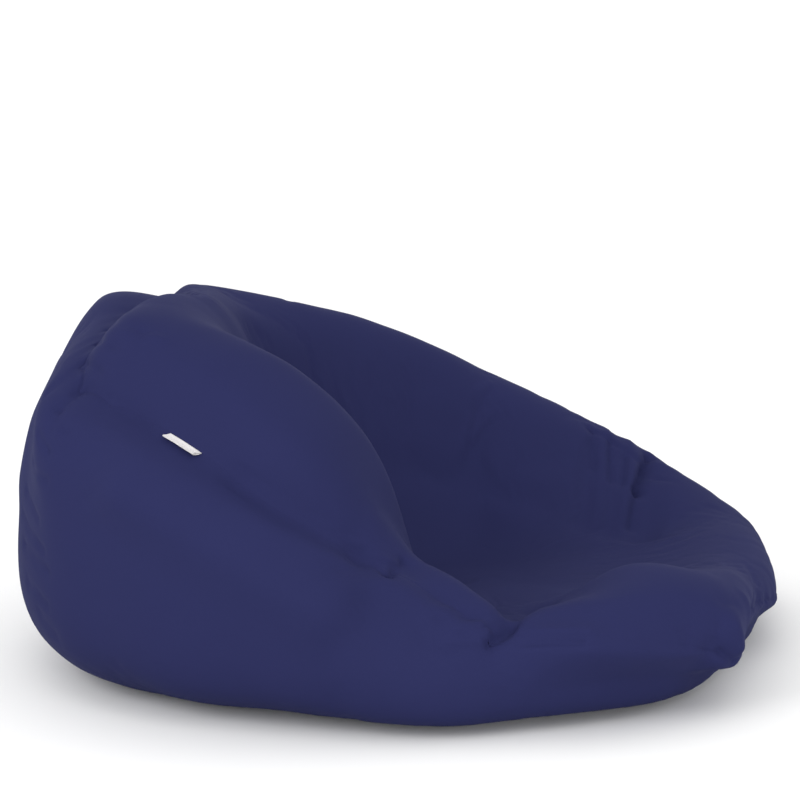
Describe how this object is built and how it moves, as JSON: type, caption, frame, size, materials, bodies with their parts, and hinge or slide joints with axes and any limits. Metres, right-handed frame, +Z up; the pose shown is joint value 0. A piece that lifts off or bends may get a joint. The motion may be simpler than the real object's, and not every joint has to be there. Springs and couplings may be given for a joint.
{
  "type": "giant bean bag",
  "caption": "Large filled floor bag of two sewn cloth panels, pushed up into a backrest and arms around a seat hollow, with a folded tape label in its seam.",
  "frame": {"origin": "middle of the bag's outline seen from above, on the floor that it rests on", "axes": "+X from the backrest towards the foot end, +Y from the low near rim towards the high far side, +Z up"},
  "size_m": [1.3492, 1.1334, 0.6338],
  "materials": {
    "cover_cloth": "closely woven navy polyester, satin-matte",
    "label_tape": "bare white woven tape, folded double"
  },
  "bodies": {
    "root": {"bag": "cover_cloth", "label": "label_tape"}
  },
  "joints": []
}
